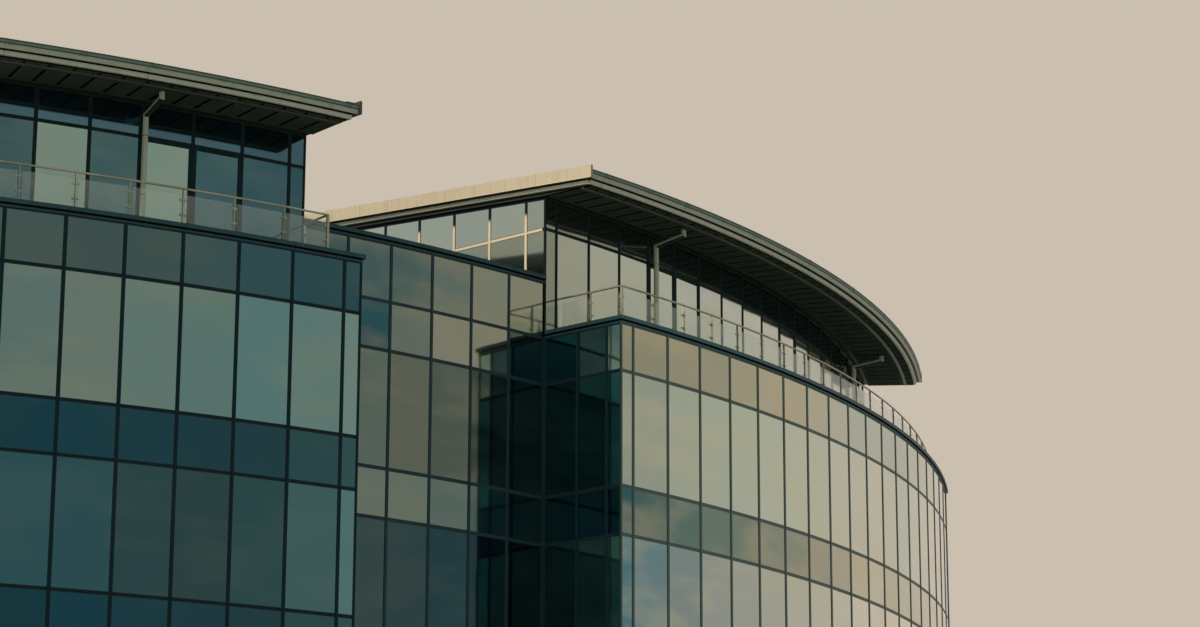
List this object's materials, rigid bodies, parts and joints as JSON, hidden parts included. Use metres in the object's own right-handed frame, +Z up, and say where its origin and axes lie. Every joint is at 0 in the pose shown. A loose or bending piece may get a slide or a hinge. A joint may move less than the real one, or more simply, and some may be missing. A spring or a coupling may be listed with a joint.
{
  "type": "glass office building",
  "caption": "Curved office building with a dark-framed curtain wall, a recess between two wings and a set-back glazed top storey under sloping roofs.",
  "frame": {"origin": "on the ground, on the plan's middle angle, 31.5 m in front of the centre of the curved walls", "axes": "+Z up; -Y faces out of the middle of the curved front; +X towards the long right wing"},
  "size_m": [36.9438, 16.8317, 22.557],
  "materials": {
    "concrete": "cast concrete slabs and kerb",
    "party_render": "rendered masonry",
    "dark_frame": "powder-coated aluminium, dark slate",
    "return_frame": "powder-coated aluminium, dark slate",
    "vision_glass": "clear tinted double glazing",
    "spandrel_left": "opaque back-painted glass, blue-teal",
    "spandrel_recess": "opaque back-painted glass",
    "spandrel_right": "opaque back-painted glass, warm grey",
    "coping": "folded coping, dark slate paint",
    "top_frame": "powder-coated aluminium, slate, pale on the left side of the right top storey",
    "roof_sheet": "standing roof sheet and soffit panels, olive grey",
    "gutter": "ribbed gutter fascia, grey-green paint",
    "eaves_strip": "pale eaves strip",
    "verge": "weathered pale verge boards",
    "trim": "brown soffit trim",
    "stainless": "brushed stainless steel",
    "rail_glass": "clear toughened glass",
    "rain_pipe": "grey-green painted rainwater pipe"
  },
  "bodies": {
    "root": {"ground_slab": "concrete", "floor_slab_1": "concrete", "floor_slab_2": "concrete", "floor_slab_3": "concrete", "floor_slab_4": "concrete", "terrace_slab": "concrete", "party_wall": "party_render", "left_front_mullions": "dark_frame", "left_front_transoms": "dark_frame", "left_front_glass": "vision_glass", "left_front_spandrels": "spandrel_left", "right_front_mullions": "dark_frame", "right_front_transoms": "dark_frame", "right_front_glass": "vision_glass", "right_front_spandrels": "spandrel_right", "recess_mullions": "return_frame", "recess_transoms": "return_frame", "recess_glass": "vision_glass", "recess_spandrels": "spandrel_recess", "rear_mullions": "dark_frame", "rear_transoms": "dark_frame", "rear_glass": "vision_glass", "rear_spandrels": "spandrel_right", "left_coping": "coping", "right_coping": "coping", "back_coping": "coping", "recess_coping": "coping", "left_top_mullions": "top_frame", "left_top_transoms": "top_frame", "left_top_head": "top_frame", "left_top_glass": "vision_glass", "right_top_mullions": "top_frame", "right_top_transoms": "top_frame", "right_top_head": "top_frame", "right_top_glass": "vision_glass", "left_roof": "roof_sheet", "right_roof": "roof_sheet", "gutters": "gutter", "eaves_strips": "eaves_strip", "soffit_trims": "trim", "verge_boards": "verge", "handrails": "stainless", "balustrade_posts": "stainless", "balustrade_glass": "rail_glass", "rain_pipes": "rain_pipe"}
  },
  "joints": []
}
